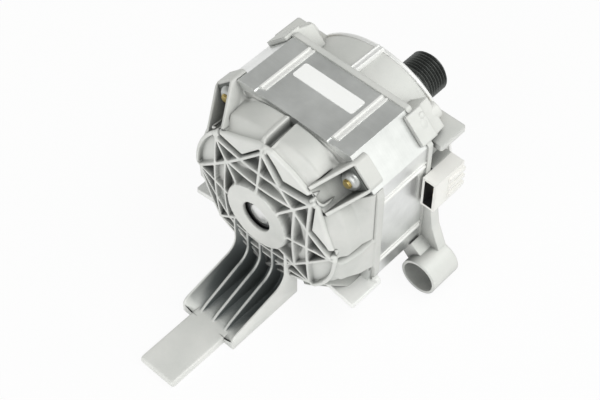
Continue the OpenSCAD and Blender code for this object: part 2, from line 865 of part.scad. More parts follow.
module rear_seals() {
    color("#2a2a2c") seals(rear_bore, rear_outside, rear_width, rear_seat);
}

// A spring ring with three waves between the boss lip and the outer ring.
module preload_washer() {
    outside = front_outside / 2 - 0.3;
    color("#84878a") {
        translate([0, front_seat - washer_room / 2, 0]) revolved()
            translate([outside - 2.4, 0]) square([2.4, washer_room / 2]);
        for (wave = [0 : 120 : 240]) turned(wave) translate([outside - 2, washer_start, -3.5])
            cube([1.4, washer_room / 2 + 0.2, 7]);
    }
}

module shaft() {
    groove = rear_back + 0.1;
    color("#b9bcbe") difference() {
        union() {
            revolved() polygon([[0, boss_face + 1], [front_bore / 2 - 0.8, boss_face + 1],
                [front_bore / 2, boss_face + 1.8], [front_bore / 2, front_back],
                [shaft_radius, front_back], [shaft_radius, rear_seat], [rear_bore / 2, rear_seat],
                [rear_bore / 2, groove], [rear_bore / 2 - 0.6, groove],
                [rear_bore / 2 - 0.6, groove + circlip_width],
                [rear_bore / 2, groove + circlip_width], [rear_bore / 2, pulley_start],
                [pulley_bore / 2, pulley_start], [pulley_bore / 2, pulley_end - 0.6],
                [pulley_bore / 2 - 0.6, pulley_end], [0, pulley_end]]);
        }
        rod(2, boss_face, boss_face + 5);
    }
}

module circlip() {
    start = rear_back + 0.1;
    color("#5d6063") revolved() translate([rear_bore / 2 - 0.6, start]) square([2.6, circlip_width]);
}

module bar_holes() {
    for (bar = [0 : bar_count - 1]) rotate(bar * 360 / bar_count) translate([bar_reach, 0])
        circle(r = bar_diameter / 2, $fn = 24);
}

module rotor_core() {
    color("#77797a") along_y(-half_stack, half_stack) difference() {
        circle(r = rotor_radius, $fn = 120);
        circle(r = shaft_radius, $fn = 72);
        bar_holes();
    }
}

// The bars, the end rings and the fan fins are cast in one piece.
module rotor_cage() {
    color("#b4b7b8") {
        along_y(-half_stack - 1, half_stack + 1) bar_holes();
        for (side = [0, 1]) mirror([0, side, 0]) {
            revolved() translate([ring_inside, half_stack])
                square([rotor_radius - 0.6 - ring_inside, end_ring]);
            for (fin = [0 : fin_count - 1]) turned(fin * 360 / fin_count)
                translate([ring_inside + 0.5, half_stack + end_ring - 0.5, -1])
                    cube([rotor_radius - 2 - ring_inside, fin_length + 0.5, 2]);
        }
    }
}

// Belt ribs with flat tips and rounded roots, and a plain land towards the motor.
module pulley() {
    low = pulley_radius - rib_depth;
    ribs = [for (rib = [0 : rib_count - 1]) let (start = belt_middle - track_length / 2 + rib * rib_pitch)
        each [[low, start + 0.15], [pulley_radius - 0.15, start + rib_pitch * 0.42],
            [pulley_radius, start + rib_pitch * 0.5], [pulley_radius - 0.15, start + rib_pitch * 0.58],
            [low, start + rib_pitch - 0.15]]];
    color("#26282a") revolved() polygon(concat([[pulley_bore / 2, pulley_start],
        [low - 0.6, pulley_start], [low, pulley_start + 0.6]], ribs,
        [[low, pulley_end - 0.3], [low - 0.5, pulley_end], [pulley_bore / 2, pulley_end]]));
}

placed() {
    stator_core();
    stack_cleats();
    slot_liners();
    slot_wedges();
    phase_u_winding();
    phase_v_winding();
    phase_w_winding();
    thermal_protector();
    lead_wires();
    connector_contacts();
    connector_housing();
    front_end_shield();
    rear_end_shield();
    tie_screws();
    rating_label();
    front_outer_ring();
    front_inner_ring();
    front_balls();
    front_ball_cage();
    front_seals();
    rear_outer_ring();
    rear_inner_ring();
    rear_balls();
    rear_ball_cage();
    rear_seals();
    preload_washer();
    shaft();
    rotor_core();
    rotor_cage();
    pulley();
    circlip();
}
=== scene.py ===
import json
import math
import bmesh
import bpy
import numpy as np
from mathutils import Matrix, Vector


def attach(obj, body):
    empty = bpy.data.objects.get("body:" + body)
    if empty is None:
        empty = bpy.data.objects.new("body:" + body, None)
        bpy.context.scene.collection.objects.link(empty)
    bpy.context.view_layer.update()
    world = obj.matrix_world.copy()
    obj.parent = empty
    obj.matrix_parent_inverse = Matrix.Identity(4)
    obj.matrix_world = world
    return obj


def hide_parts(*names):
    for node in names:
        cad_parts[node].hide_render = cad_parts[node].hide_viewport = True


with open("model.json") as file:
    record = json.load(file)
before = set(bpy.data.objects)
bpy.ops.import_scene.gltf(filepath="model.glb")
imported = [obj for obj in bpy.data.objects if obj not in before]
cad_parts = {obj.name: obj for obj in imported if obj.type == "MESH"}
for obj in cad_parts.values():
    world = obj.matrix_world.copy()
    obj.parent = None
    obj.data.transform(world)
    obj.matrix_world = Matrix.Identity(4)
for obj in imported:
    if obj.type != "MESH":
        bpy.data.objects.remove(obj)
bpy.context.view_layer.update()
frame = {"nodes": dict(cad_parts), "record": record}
nodes = frame["nodes"]
print("frame loaded:", len(nodes), "nodes")

mm = 0.001
beltMiddle = 94.0  # stator middle to belt middle along the shaft, mm
eighth = 45.0  # degrees between two star points
flats = (0, 90, 180, 270)  # degrees from +X up to +Z
lugs = (45, 135, 225, 315)
tiny = 0.01  # mm, so that a row on a limit falls on the right side of it


# A socket that takes part in Python sums: each operator adds one Math node.
class Wire:
    def __init__(self, socket):
        self.socket = socket
        self.tree = socket.id_data

    # One node of any type: settings first, then the values or links of its sockets.
    def make(self, kind, settings=None, sockets=None, out=0):
        node = self.tree.nodes.new(kind)
        for key, value in (settings or {}).items():
            setattr(node, key, value)
        for key, value in (sockets or {}).items():
            if isinstance(value, Wire):
                self.tree.links.new(value.socket, node.inputs[key])
            else:
                node.inputs[key].default_value = value
        return Wire(node.outputs[out])

    def mathNode(self, operation, first, second):
        return self.make("ShaderNodeMath", {"operation": operation}, {0: first, 1: second})

    def __add__(self, other):
        return self.mathNode("ADD", self, other)

    def __radd__(self, other):
        return self.mathNode("ADD", other, self)

    def __sub__(self, other):
        return self.mathNode("SUBTRACT", self, other)

    def __rsub__(self, other):
        return self.mathNode("SUBTRACT", other, self)

    def __mul__(self, other):
        return self.mathNode("MULTIPLY", self, other)

    def __rmul__(self, other):
        return self.mathNode("MULTIPLY", other, self)

    def __truediv__(self, other):
        return self.mathNode("DIVIDE", self, other)

    def __rtruediv__(self, other):
        return self.mathNode("DIVIDE", other, self)

    def __pow__(self, other):
        return self.mathNode("POWER", self, other)

    def __rpow__(self, other):
        return self.mathNode("POWER", other, self)

    # Noise at the place that the socket gives.
    def noise(self, scale, detail, rough=0.6):
        return self.make("ShaderNodeTexNoise", None,
                         {"Vector": self, "Scale": scale, "Detail": detail, "Roughness": rough})

    # Straight ramp from 0 to 1 as the socket goes from low to high.
    def span(self, low, high):
        return self.make("ShaderNodeMapRange", {"clamp": True},
                         {"Value": self, "From Min": low, "From Max": high, "To Min": 0.0, "To Max": 1.0})

    # Mix of two colours, with the socket as the second one's share.
    def tint(self, first, second):
        first, second = [value if isinstance(value, Wire) else (*value, 1) for value in (first, second)]
        return self.make("ShaderNodeMix", {"data_type": "RGBA"}, {0: self, 6: first, 7: second}, 2)

    # Place multiplied by one factor along each axis.
    def stretch(self, scale):
        return self.make("ShaderNodeVectorMath", {"operation": "MULTIPLY"}, {0: self, 1: scale})

    # One of the three parts of a place.
    def axis(self, name):
        return self.make("ShaderNodeSeparateXYZ", None, {0: self}, "XYZ".index(name))

    # Ends the tree: this shader goes to its surface output.
    def show(self, kind="ShaderNodeOutputMaterial"):
        out = self.tree.nodes.new(kind)
        self.tree.links.new(self.socket, out.inputs["Surface"])


# An empty material and the wire of its Object coordinates.
def newMaterial(name):
    material = bpy.data.materials.new(name)
    material.use_nodes = True
    material.node_tree.nodes.clear()
    coord = material.node_tree.nodes.new("ShaderNodeTexCoord")
    return material, Wire(coord.outputs["Object"])


# 0 inside the arm's trough, 1 beside it and past its end, with narrow ramps in metres between them. It keeps
# the arm's painted shade inside the trough.
def besideTrough(place, look):
    x, y = place.axis("X"), place.axis("Y")
    half, end = look["troughHalf"], look["troughEnd"]
    return (x * x).span(half ** 2, (half + look["troughSoft"]) ** 2) + y.span(end, end - look["troughFade"])


# One finish: slow clouds and a fine grain in the colour, the grain drawn out along the way it was worked,
# both in the roughness, grain in the bump, edges rounded in the normal, and painted shade that darkens the
# hollows by ambient occlusion where a look asks for it.
def finish(name, look):
    material, place = newMaterial(name)
    cloud = place.noise(look["cloudScale"], look["cloudDetail"])
    grain = place.stretch(look["drawn"]).noise(look["grainScale"], look["grainDetail"])
    shade = cloud.span(*look["cloudSpan"]) + (grain - 0.5) * look["streak"]
    colour = shade.span(0.0, 1.0).tint(look["dark"], look["light"])
    # Painted shade: where ambient occlusion finds the surface enclosed, the colour darkens towards the
    # look's hollow colour.
    if "hollow" in look:
        reach = {"Distance": look["hollowReach"]}
        clear = place.make("ShaderNodeAmbientOcclusion", {"samples": 6}, reach, 1)
        clear = clear.span(look["hollowLow"], look["hollowHigh"])
        if "troughHalf" in look:
            clear = (clear + besideTrough(place, look)).span(0.0, 1.0)
        colour = clear.tint(look["hollow"], colour)
    rough = look["rough"] + (grain - 0.5) * look["uneven"] + (cloud - 0.5) * look["uneven"]
    edge = place.make("ShaderNodeBevel", {"samples": 4}, {"Radius": look["edge"]})
    bump = place.make("ShaderNodeBump", None, {"Strength": look["bump"], "Distance": look["bumpHigh"],
                                               "Height": grain, "Normal": edge})
    place.make("ShaderNodeBsdfPrincipled", None,
               {"Base Color": colour, "Metallic": look["metal"], "Roughness": rough,
                "Coat Weight": look["coat"], "Normal": bump}).show()
    return material


# The cast look paints shade into its hollows: a dark hollow colour that ambient occlusion mixes in within a
# short reach.
castLook = dict(dark=(0.68, 0.69, 0.665), light=(0.78, 0.78, 0.755), cloudScale=35.0, cloudDetail=4.0,
                cloudSpan=(0.3, 0.7), grainScale=1400.0, grainDetail=3.0, drawn=(1, 1, 1), streak=0.3,
                rough=0.58, uneven=0.12, bump=0.2, bumpHigh=0.0003, metal=0.42, coat=0.0, edge=0.0006,
                hollow=(0.10, 0.105, 0.10), hollowReach=0.012, hollowLow=0.22, hollowHigh=0.9)
# Plain looks are the cast look without its painted shade.
plainLook = {key: value for key, value in castLook.items() if not key.startswith("hollow")}
turnedLook = dict(plainLook, drawn=(0.03, 1.0, 0.03), grainScale=2200.0, metal=0.9, rough=0.3, streak=0.5,
                  edge=0.0003)
plasticLook = dict(plainLook, metal=0.0, rough=0.45, bump=0.1, streak=0.2, edge=0.0004)
# The rear look paints shade: its hollows darken by ambient occlusion over a longer reach, so the ears' tops
# and the corners by the lugs go darker; the dots copy it.
rearLook = dict(castLook, hollowReach=0.03, hollowLow=0.12, hollowHigh=0.72, edge=0.0014)
slotLooks = {
    "lamination_steel": dict(turnedLook, dark=(0.70, 0.71, 0.70), light=(0.88, 0.89, 0.88), rough=0.34),
    "cleat_steel": dict(turnedLook, dark=(0.86, 0.86, 0.84), light=(0.94, 0.94, 0.92), metal=0.2, rough=0.4),
    "insulation": dict(plasticLook, dark=(0.74, 0.67, 0.50), light=(0.84, 0.78, 0.62), rough=0.6),
    "copper": dict(plainLook, dark=(0.36, 0.14, 0.05), light=(0.60, 0.29, 0.13), drawn=(1.0, 0.08, 1.0),
                   grainScale=900.0, streak=1.2, metal=0.85, rough=0.32, bump=0.8, coat=0.5),
    "black_plastic": dict(plasticLook, dark=(0.015, 0.015, 0.016), light=(0.03, 0.03, 0.032)),
    "wire_cover": dict(plasticLook, dark=(0.26, 0.035, 0.03), light=(0.36, 0.06, 0.05)),
    "contact_brass": dict(turnedLook, dark=(0.55, 0.42, 0.16), light=(0.70, 0.56, 0.27)),
    "white_plastic": dict(plasticLook, dark=(0.82, 0.81, 0.78), light=(0.89, 0.88, 0.85)),
    "cast_aluminium": castLook,
    "screw_brass": dict(turnedLook, dark=(0.42, 0.32, 0.11), light=(0.62, 0.50, 0.22), rough=0.35),
    "label_white": dict(plasticLook, dark=(0.95, 0.95, 0.94), light=(0.98, 0.98, 0.975), bump=0.03,
                        rough=0.5),
    "bearing_steel": dict(turnedLook, dark=(0.60, 0.61, 0.62), light=(0.72, 0.73, 0.74), rough=0.18),
    "cage_plastic": dict(plasticLook, dark=(0.38, 0.31, 0.16), light=(0.48, 0.41, 0.23)),
    "seal_rubber": dict(plasticLook, dark=(0.012, 0.012, 0.012), light=(0.025, 0.025, 0.025), rough=0.65),
    "spring_steel": dict(turnedLook, dark=(0.22, 0.23, 0.24), light=(0.32, 0.33, 0.34)),
    "shaft_steel": dict(turnedLook, dark=(0.74, 0.74, 0.73), light=(0.86, 0.86, 0.85)),
    "pulley_black": dict(turnedLook, dark=(0.09, 0.095, 0.092), light=(0.17, 0.178, 0.173), metal=0.7,
                         coat=0.1),
}
# Finishes of single pieces, where these differ from their slot's.
pieceLooks = {
    # Painted shade: the arm's channels darken towards a dark hollow colour by ambient occlusion over a long
    # reach, kept to the trough.
    "arm": dict(castLook, dark=(0.73, 0.74, 0.715), light=(0.82, 0.82, 0.795), hollow=(0.15, 0.165, 0.165),
                hollowReach=0.05, hollowLow=0.5, hollowHigh=0.98,
                troughHalf=0.0196, troughSoft=0.0006, troughEnd=-0.187, troughFade=0.008),
    # Painted shade: the bell gets a darker copy of the cast colour, and its lugs and coves darken towards a
    # dark hollow colour by ambient occlusion.
    "bell": dict(castLook, dark=(0.62, 0.63, 0.605), light=(0.72, 0.72, 0.695), hollow=(0.06, 0.065, 0.06),
                 hollowReach=0.028, hollowLow=0.14, hollowHigh=0.86),
    # Painted shade: the domed bosses get a darker copy of the cast colour for the shade of the pockets round
    # them.
    "dome": dict(plainLook, dark=(0.42, 0.43, 0.42), light=(0.56, 0.57, 0.56), metal=0.75, rough=0.32),
    # Painted shade: a near-black copy of the cast look for the plates at the backs of the lug pockets.
    "pocket": dict(castLook, dark=(0.10, 0.11, 0.10), light=(0.17, 0.18, 0.17)),
    # Painted light: the ears get a lighter copy of the cast colour, without painted shade, to lift the shade
    # that the bell casts on them.
    "ear": dict(plainLook, dark=(0.84, 0.845, 0.83), light=(0.91, 0.91, 0.89)),
    "rear": rearLook,
    "dot": dict(rearLook, edge=0.0002),
    # Painted highlight: the rim bead and the rear ridges get a lighter copy of the cast colour for the light
    # that their rounded edges catch.
    "rim": dict(plainLook, dark=(0.86, 0.86, 0.85), light=(0.93, 0.93, 0.92), rough=0.4),
}
finishes = {name: finish(name + "Finish", look) for name, look in {**slotLooks, **pieceLooks}.items()}
for part in frame["record"]["subparts"]:
    mesh = nodes[part["node"]].data
    mesh.materials.clear()
    # The rear shield takes the rear look and its painted shade.
    mesh.materials.append(finishes["rear" if part["node"] == "rear_end_shield" else part["material_slot"]])
print("finishes made:", len(finishes))


# 0 below low, 1 above high, and a soft S between them.
def ease(low, high, value):
    t = np.clip((value - low) / (high - low), 0, 1)
    return t * t * (3 - 2 * t)


# 1 between low and high and 0 outside, with both flanks eased.
def band(low, high, value, soft=0.7):
    return ease(low - soft / 2, low + soft / 2, value) * (1 - ease(high - soft / 2, high + soft / 2, value))


# 1 inside the span of angles and 0 outside it, with both ends eased over a few degrees.
def sector(angle, start, end, soft=3.0):
    off = np.abs((angle - (start + end) / 2 + 180) % 360 - 180)
    return 1 - ease((end - start - soft) / 2, (end - start + soft) / 2, off)


# Running mean over neighbours in one direction of a grid: rounds the corners of its lines.
def soften(grid, direction, times, wrapped):
    for _ in range(times):
        if wrapped:
            grid = (np.roll(grid, 1, direction) + 2 * grid + np.roll(grid, -1, direction)) / 4
        else:
            inner = np.moveaxis(grid, direction, 0).copy()
            inner[1:-1] = (inner[:-2] + 2 * inner[1:-1] + inner[2:]) / 4
            grid = np.moveaxis(inner, 0, direction)
    return grid


# Points at a radius and an angle round the shaft.
def polar(radius, angle, y):
    angle = np.radians(angle)
    return np.stack([radius * np.cos(angle), y + 0 * radius * angle, radius * np.sin(angle)], -1)


# Points some way out from the shaft and some way across that, all turned to one angle round the shaft.
def outAcross(out, across, y, angle):
    c, s = math.cos(math.radians(angle)), math.sin(math.radians(angle))
    x, z = out * c - across * s, out * s + across * c
    return np.stack([x, y + 0 * x, z], -1)


# Flat points on a circle round a centre, from one angle to another.
def arc(centre, radius, start, end, count):
    turn = np.radians(np.linspace(start, end, count))
    return (np.array(centre) + radius * np.stack([np.cos(turn), np.sin(turn)], -1)).tolist()


# A tube of cross-sections, closed at both ends by a row that is drawn together in its middle.
def closeEnds(skin):
    first, last = [np.broadcast_to(skin[k].mean(0), skin[k].shape)[None] for k in (0, -1)]
    return np.concatenate([first, skin, last])


# A profile of radius and Y turned round an axis along the shaft's way.
def turnedGrid(profile, centre=(0, 0), count=41):
    r, y = np.array(profile, float).T[..., None]
    turn = np.radians(np.linspace(0, 360, count))[None, :]
    return np.stack([centre[0] + r * np.cos(turn), y + 0 * turn, centre[1] + r * np.sin(turn)], -1)


# A plate of any outline in the XY plane between two heights, its rim rounded, closed by a fan at each side.
def plateGrid(outline, low, high, rounding):
    loop = np.array([*outline, outline[0]], float)
    middle = loop[:-1].mean(0)
    reach = np.linalg.norm(loop - middle, axis=-1)[:, None]
    turn = np.linspace(0, math.pi / 2, 5)
    inset, rise = rounding * (1 - np.sin(turn)), rounding * (1 - np.cos(turn))
    inner = [rounding + 0.5]  # one more ring keeps the plate's faces flat
    inset = np.concatenate([inner, inset, inset[::-1], inner])
    level = np.concatenate([[low], low + rise, high - rise[::-1], [high]])
    shrink = np.concatenate([1 + 0 * reach[None], inset[:, None, None] / reach, 1 + 0 * reach[None]])
    level = np.concatenate([[low], level, [high]])[:, None, None] + 0 * reach
    return np.concatenate([middle + (loop - middle) * (1 - shrink), level], -1)


# Grids of points in mm round the stator's middle, merged at their seams into one mesh that rides on a body.
def gridPiece(name, grids, look, replaced=None, body="housing", crease=50.0):
    points, quads, start = [], [], 0
    for grid in grids:
        rows, cols = grid.shape[:2]
        index = start + np.arange(rows * cols).reshape(rows, cols)
        corners = [index[:-1, :-1], index[:-1, 1:], index[1:, 1:], index[1:, :-1]]
        quads.append(np.stack(corners, -1).reshape(-1, 4))
        points.append(grid.reshape(-1, 3))
        start += rows * cols
    points = (np.concatenate(points) - (0, beltMiddle, 0)) * mm
    mesh = bpy.data.meshes.new(name)
    mesh.from_pydata(points, [], np.concatenate(quads))
    work = bmesh.new()
    work.from_mesh(mesh)
    bmesh.ops.remove_doubles(work, verts=work.verts, dist=2e-6)
    bmesh.ops.recalc_face_normals(work, faces=work.faces)
    work.to_mesh(mesh)
    work.free()
    mesh.polygons.foreach_set("use_smooth", np.ones(len(mesh.polygons), bool))
    mesh.set_sharp_from_angle(angle=math.radians(crease))
    mesh.materials.append(finishes[look])
    piece = bpy.data.objects.new(name, mesh)
    bpy.context.scene.collection.objects.link(piece)
    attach(piece, body)
    if replaced:
        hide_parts(replaced)
    print(name, len(mesh.polygons), "faces")


# Front end shield. Angles run from +X up to +Z; lengths in mm from the stator's middle.
shieldSet = dict(
    reach=53.0, rib=1.1, ribFlank=(-0.35, 0.75), square=26.95, dishDrop=1.2, dish=0.168,
    boss=23.0, bossFace=-55.4, bossFlank=(-0.5, 1.2), ring=55.6, ringInset=0.2, ringTop=-48.4,
    chordEdge=49.8, notchStart=40.6, notchSlope=0.3, notchEdge=55.6, notchRoll=2.4, edgeRoll=0.9,
    pocket=3.0, tipPocket=6.4, bossPocket=5.4, bossPocketEnd=(29, 33), gully=7.6, back=-42.0, backInset=3.5,
    hole=[(16.8, -42.0), (16.8, -52.2), (10.8, -52.7), (10.5, -53.1), (10.5, -54.9)], holeEdge=11.0,
    stackFlat=60.0, stackFace=-23.0, hidden=0.965, bell=59.6, flare=0.5, scoopBend=1.6,
    cove=3.4, coveSkew=0.85, coveWidth=1.2, cavity=46.0)
faceGrid = dict(around=900, across=97, roll=6)
padSet = dict(middle=(22.5, 67.5, 112.5), edge=(51.0, 53.6, 52.7), level=(-51.0, -50.2, -51.2),
              turnedGap=(1.9, 2.0, 0.2), turnedFlank=1.2, uprightGap=(0.4, 2.2, 2.0), uprightFlank=1.4,
              lensAt=(15.0, 18.5, 27.0, 34.0, 37.5), lensShare=(0.75, 0.95, 1.0, 0.6, 0.2),
              cornerStart=(50, 52), cornerHalf=(2.5, 4.5))


# Y of a pad's top: its own level at the inner corner, falling evenly towards the straight outer edge.
def padTop(r, angle, look):
    q = r * np.cos(np.radians(angle % eighth - eighth / 2))
    level = np.interp(angle % 360, padSet["middle"], padSet["level"])
    return level + look["notchSlope"] * (q - look["notchStart"])


# Shares of the three kinds of rim at an angle: notched round the top, ringed at either side of that, and
# chords round the bottom.
def rimKinds(angle):
    return sector(angle, 0, 135), sector(angle, -45, 0) + sector(angle, 135, 180), sector(angle, 180, 315)


# Edge where the face turns into the bell: radius, Y and roll by angle. The notched sectors end in straight
# rounded edges, the ringed ones in a circle, and the rest follow the chord between two star points.
def rimEdge(angle, look):
    off = np.radians(angle % eighth - eighth / 2)
    notch, ring, chord = rimKinds(angle)
    straight = np.interp(angle % 360, padSet["middle"], padSet["edge"]) / np.cos(off)
    radius = notch * np.minimum(straight, look["notchEdge"]) + ring * look["ring"]
    radius = radius + chord * look["chordEdge"] / np.cos(off)
    level = padTop(radius - look["notchRoll"], angle, look)
    roll = look["edgeRoll"] + notch * (look["notchRoll"] - look["edgeRoll"])
    return radius, notch * level + (1 - notch) * look["ringTop"], roll


# Height of the star face: pockets below a dished top, ribs along two crossed squares, a small square, eight
# spokes, the lower chords and the ring, the boss in the middle, and sloped pads in the notches between the
# upper star points.
def starHeight(x, z, look):
    r, angle = np.hypot(x, z), np.degrees(np.arctan2(z, x)) % 360
    half, rib = look["reach"] / math.sqrt(2), look["rib"]
    upright = np.maximum(np.abs(x), np.abs(z)) - half
    turned = np.maximum(np.abs(x + z), np.abs(x - z)) / math.sqrt(2) - half
    spoke = np.abs(r * np.sin(np.radians((angle + eighth / 2) % eighth - eighth / 2)))
    chordOff = r * np.cos(np.radians(angle % eighth - eighth / 2)) - look["reach"] * math.cos(math.pi / 8)
    notch, ring, chord = rimKinds(angle)
    outside = ease(-0.5, 0.5, np.minimum(upright, turned))
    tip = ease(-0.5, 0.5, np.maximum(upright, turned)) - outside
    depth = look["pocket"] + tip * (look["tipPocket"] - look["pocket"])
    depth = depth + (1 - ease(*look["bossPocketEnd"], r)) * (look["bossPocket"] - look["pocket"])
    depth = depth + outside * notch * (look["gully"] - look["pocket"])
    far = 20.0  # puts a rib out of reach where its sector is off
    lines = [np.abs(upright + rib), np.abs(turned + rib), np.abs(upright + half - look["square"]), spoke,
             np.abs(chordOff + rib) + far * (1 - chord),
             np.abs(r - look["ring"] + rib + look["ringInset"]) + far * (1 - ring)]
    top = look["bossFace"] + look["dishDrop"] + look["dish"] * (r - look["boss"])
    height = top + depth * ease(*look["ribFlank"], np.min(lines, axis=0) - rib)
    along = np.minimum(np.abs(x + z), np.abs(x - z)) / math.sqrt(2)
    which = np.clip(angle // eighth, 0, 2).astype(int)
    lens = np.interp(along, padSet["lensAt"], padSet["lensShare"])
    turnedPast = turned - np.array(padSet["turnedGap"])[which] * lens
    uprightPast = upright - np.array(padSet["uprightGap"])[which]
    inside = ease(0, padSet["uprightFlank"], uprightPast) * ease(0, padSet["turnedFlank"], turnedPast)
    corner = (1 - ease(*padSet["cornerHalf"], spoke)) * ease(*padSet["cornerStart"], r)
    pad = notch * np.maximum(inside, corner)
    height = height + pad * (np.minimum(height, padTop(r, angle, look)) - height)
    boss = 1 - ease(*look["bossFlank"], r - look["boss"])
    return height + boss * (look["bossFace"] - height)


# The star face as a grid of angle and radius, rolled over its edge and closed behind through the boss hole.
def starFace(look, grid):
    angle = np.linspace(0, 360, grid["around"] + 1)[None, :]
    full = np.ones_like(angle)
    edge, edgeY, roll = rimEdge(angle, look)
    share = np.linspace(0, 1, grid["across"])[:, None]
    radius = look["holeEdge"] + (edge - roll - look["holeEdge"]) * share
    spot = polar(radius, angle, 0)
    height = starHeight(spot[..., 0], spot[..., 2], look)
    turn = np.linspace(0, math.pi / 2, grid["roll"] + 1)[1:, None]
    rolled = polar(edge - roll + roll * np.sin(turn), angle, height[-1:] + roll * (1 - np.cos(turn)))
    joint = polar(edge, angle, edgeY + roll + 0.3)
    hole = [polar(full * r, angle, y * full) for r, y in look["hole"]]
    rear = polar(edge - look["backInset"], angle, look["back"] * full)
    return np.concatenate([*hole, polar(radius, angle, height), rolled, joint, rear, hole[0]])


# Y of every row: from the rim's own edge to the first late row, then the late rows as they are.
def rowPlaces(angle, early, late, look):
    _, edgeY, roll = rimEdge(angle, look)
    start = edgeY + roll
    return np.concatenate([start + (late[0] - start) * early[:-1], late[:, None] + 0 * start]), start


# Radius of a scoop: from the rim's edge out to a line between the circle and the stack's flat, less a
# hollow.
def scoopRadius(y, start, edge, tilt, look):
    t = np.clip((y - start) / (look["stackFace"] - start), 0, 1)
    flat = look["stackFlat"]
    end = look["bell"] + look["flare"] * (flat / np.cos(np.radians(tilt)) - flat)
    hollow = look["cove"] * np.sin(math.pi * t ** look["coveSkew"]) ** look["coveWidth"]
    return edge + (end - edge) * t ** look["scoopBend"] - hollow


lugSet = dict(half=10.0, wall=2.3, reach=75.1, topStart=-0.4, topRise=1.2, topEnd=-24.5, foot=-25.0,
              floorY=(-47.5, -44.0, -36.0, -30.0, -25.9), floorStart=-1.5, floorOut=(54.5, 55.5, 57.5, 59.5),
              collarBase=64.0, collarRound=2.0, collarHalf=(6.5, 10.5), collarStart=(-26, -24),
              collarRise=(0, 6), collarSeat=72.4)
ridgeSet = dict(level=57.4, rise=2.0, riseFrom=-43.0, riseOver=20.0, below=0.4, fall=2.6, sideFall=1.2,
                climb=(0.3, 8.0), behind=(0.4, 2.6), levelAt=(-3.4, 4.6), ribAt=(1.2, 4.2), ribHigh=0.9,
                grooveAt=(-2.6, 1.0), grooveDeep=6.0, rootDeep=2.5, rootAt=(0.80, 0.97),
                rootY=(-27.5, -24.5), seatDeep=1.2, seatY=(-24.4, -23.7))
panelSet = dict(y=(-47.0, -40.5, -31.6, -20.2), out=(56.5, 58.4, 59.8, 61.6),
                low=(-19.3, -20.4, -25.2, -27.0), lowFlank=(-0.6, 0.6), lip=(-2.0, -3.0, -2.4, 1.0),
                lipFlank=(-0.5, 0.3), lipHigh=0.5, lipAt=(-2.2, 0.0), lineDeep=2.6, lineAt=(0.0, 1.8),
                lineEnd=(-23.4, -22.6), ramp=60.8, rampY=(-30.0, -22.8), groove=60.03, grooveStart=-21.85,
                strip=62.2, stripStart=-21.2, stripEnd=-15.6, stripRound=1.4, stripTip=(0.84, 0.98))


# Degrees from the middle of a flat to the walls of the lugs beside it.
def flatSpan(look):
    return 45 - math.degrees(math.asin(lugSet["half"] / look["stackFlat"]))


# The upper flat's ridge: a level strip along its middle, a rib on one side of it and a groove on the other.
def upperRidge(radius, ridge, across, look):
    level = np.maximum(ridge - radius, 0) * band(*look["levelAt"], across)
    rib = look["ribHigh"] * band(*look["ribAt"], across)
    return level + rib - look["grooveDeep"] * band(*look["grooveAt"], across)


# A side's radius: above the lip the scoop climbs a ramp to a groove, below it a flat panel stands out, a
# line is cut along the lip, and the seat strip with round ends lies behind both.
def sidePanel(radius, y, tilt, hand, behind, look):
    upright = np.cos(np.radians(tilt))
    out, low, lipZ = [np.interp(y, look["y"], look[key]) for key in ("out", "low", "lip")]
    z = hand * out * np.tan(np.radians(tilt))
    lip, above = z - lipZ, ease(*look["lowFlank"], z - low)
    radius = radius + above * ease(*look["rampY"], y) * np.maximum(look["ramp"] / upright - radius, 0)
    panel = (out + look["lipHigh"] * band(*look["lipAt"], lip)) / upright
    radius = radius + above * (1 - ease(*look["lipFlank"], lip)) * behind * np.maximum(panel - radius, 0)
    line = band(*look["lineAt"], lip) * (1 - ease(*look["lineEnd"], y))
    radius = radius - look["lineDeep"] * behind * line
    start, end = look["stripStart"] - tiny, look["stripEnd"] + tiny
    groove = (y > look["grooveStart"]) & (y < start) & (lip > 0)
    radius = np.where(groove, look["groove"] / upright, radius)
    strip = look["strip"] - look["stripRound"] * ease(*look["stripTip"], np.abs(tilt) / tilt.max())
    return np.where((y > start) & (y < end), strip / upright, radius)


# One flat side of the bell: a scoop that falls away from a ridge at its middle. The upper flat has a rib and
# a groove on its ridge, and the two sides have a panel with a lip and the seat strip behind.
def flatStrip(middle, early, late, look, grid):
    side = middle in (0, 180)
    tilt = flatSpan(look) * np.linspace(-1, 1, grid["flat"])[None, :]
    upright = np.cos(np.radians(tilt))
    angle = middle + tilt
    edge, _, _ = rimEdge(angle, look)
    y, start = rowPlaces(angle, early, late, look)
    scoop = scoopRadius(y, start, edge, tilt, look)
    behind = ease(*ridgeSet["behind"], y - start)
    risen = np.clip((y - ridgeSet["riseFrom"]) / ridgeSet["riseOver"], 0, 1)
    ridge = ridgeSet["level"] + ridgeSet["rise"] * risen
    low, fall = ridge - ridgeSet["below"], ridgeSet["sideFall" if side else "fall"]
    plane = low + fall * (1 - np.exp(-low * (1 / upright - 1) / fall))
    radius = scoop + ease(*ridgeSet["climb"], y - start) * np.maximum(plane - scoop, 0)
    if middle == 90:
        radius = radius + behind * upperRidge(radius, ridge, scoop * np.sin(np.radians(tilt)), ridgeSet)
    if side:
        radius = sidePanel(radius, y, tilt, -1 if middle == 180 else 1, behind, panelSet)
    else:
        root = ease(*ridgeSet["rootAt"], np.abs(tilt) / tilt.max()) * ease(*ridgeSet["rootY"], y)
        radius = radius - ridgeSet["rootDeep"] * root - ridgeSet["seatDeep"] * ease(*ridgeSet["seatY"], y)
    under = y > (panelSet["stripEnd"] if side else look["stackFace"]) + tiny
    return polar(np.where(under, look["hidden"] * look["stackFlat"] / upright, radius), angle, y)


